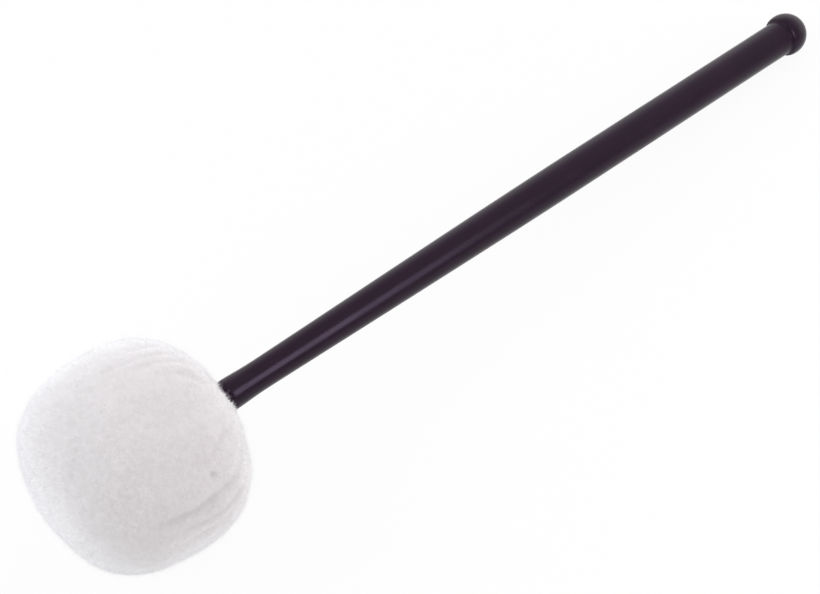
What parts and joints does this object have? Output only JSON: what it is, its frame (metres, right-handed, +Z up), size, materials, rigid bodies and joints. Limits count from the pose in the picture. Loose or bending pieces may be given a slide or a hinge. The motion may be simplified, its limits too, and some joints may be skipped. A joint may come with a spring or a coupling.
{
  "type": "bass drum mallet",
  "caption": "Bass drum mallet: turned, black lacquered wood handle with a ball knob and a large padded head under a gathered white fleece cover.",
  "frame": {"origin": "under the middle of the mallet's box, on the surface that it lies on", "axes": "+X from the head towards the knob, +Z up; the handle slopes down towards +X in the XZ plane"},
  "size_m": [0.4104, 0.0888, 0.088],
  "materials": {
    "black_lacquer": "satin black lacquer with a dark purple-brown cast",
    "bare_maple": "turned, unfinished",
    "zinc_steel": "zinc plated",
    "hard_felt": "dense pressed wool felt",
    "soft_felt": "soft wool felt",
    "thread": "twisted off-white thread",
    "fleece": "white plush fleece, short soft pile"
  },
  "bodies": {
    "root": {"handle": "black_lacquer", "core": "bare_maple", "core_washer": "zinc_steel", "core_screw": "zinc_steel", "hard_felt_wrap": "hard_felt", "crown_felt_pad": "hard_felt", "neck_felt_pad": "hard_felt", "crown_felt_cup": "soft_felt", "neck_felt_cup": "soft_felt", "felt_stitching": "thread", "drawstring": "thread", "fleece_cover": "fleece"}
  },
  "joints": []
}
